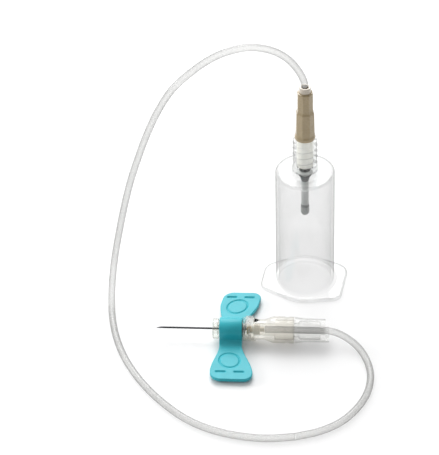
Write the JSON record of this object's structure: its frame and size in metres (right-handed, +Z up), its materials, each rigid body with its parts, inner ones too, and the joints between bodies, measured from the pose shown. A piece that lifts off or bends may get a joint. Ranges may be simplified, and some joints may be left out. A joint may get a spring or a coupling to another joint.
{
  "type": "blood collection needle",
  "caption": "Push-button winged blood collection needle with clear tubing, a luer connection and an upright tube holder.",
  "frame": {"origin": "on the table, under the middle of the box round the holder and the winged needle", "axes": "+Z up along the standing tube holder; the winged needle lies along X and points towards -X"},
  "size_m": [0.0897, 0.0901, 0.0972],
  "materials": {
    "holder_plastic": "clear, slightly frosted",
    "connector_plastic": "clear",
    "grey_rubber": "matte",
    "needle_steel": "ground and polished",
    "tan_plastic": "satin",
    "tubing_plastic": "clear and soft",
    "barrel_plastic": "clear, faintly warm",
    "tail_plastic": "clear",
    "button_plastic": "clear",
    "cream_plastic": "satin",
    "spring_steel": "drawn wire",
    "teal_plastic": "soft satin"
  },
  "bodies": {
    "set": {"tube_holder": "holder_plastic", "luer_connector": "connector_plastic", "rubber_sleeve": "grey_rubber", "rear_needle": "needle_steel", "luer_adapter": "tan_plastic", "tubing": "tubing_plastic", "tubing_loop": "tubing_plastic", "front_barrel": "barrel_plastic", "rear_barrel": "tail_plastic", "spring": "spring_steel", "wing_sleeve": "teal_plastic"},
    "button": {"push_button": "button_plastic"},
    "needle_carrier": {"needle_hub": "cream_plastic", "needle": "needle_steel"},
    "front_wing": {"wing_front": "teal_plastic"},
    "back_wing": {"wing_back": "teal_plastic"}
  },
  "joints": [
    {"name": "button_press", "type": "slide", "parent": "set", "child": "button", "axis": [0, 0, -1], "range_m": [0, 0.0009], "stiffness_N_per_m": 20},
    {"name": "needle_retract", "type": "slide", "parent": "set", "child": "needle_carrier", "axis": [0.9997, -0.0262, 0], "range_m": [0, 0.02], "deforming": ["spring", "tubing_loop"]},
    {"name": "wing_front_fold", "type": "hinge", "parent": "set", "child": "front_wing", "pos_m": [-0.00756, -0.01494, 0.00195], "axis": [-0.9997, 0.0262, 0], "range_deg": [0, 88], "stiffness_Nm_per_rad": 0.0001},
    {"name": "wing_back_fold", "type": "hinge", "parent": "set", "child": "back_wing", "pos_m": [-0.00733, -0.00614, 0.00195], "axis": [0.9997, -0.0262, 0], "range_deg": [0, 88], "stiffness_Nm_per_rad": 0.0001}
  ]
}
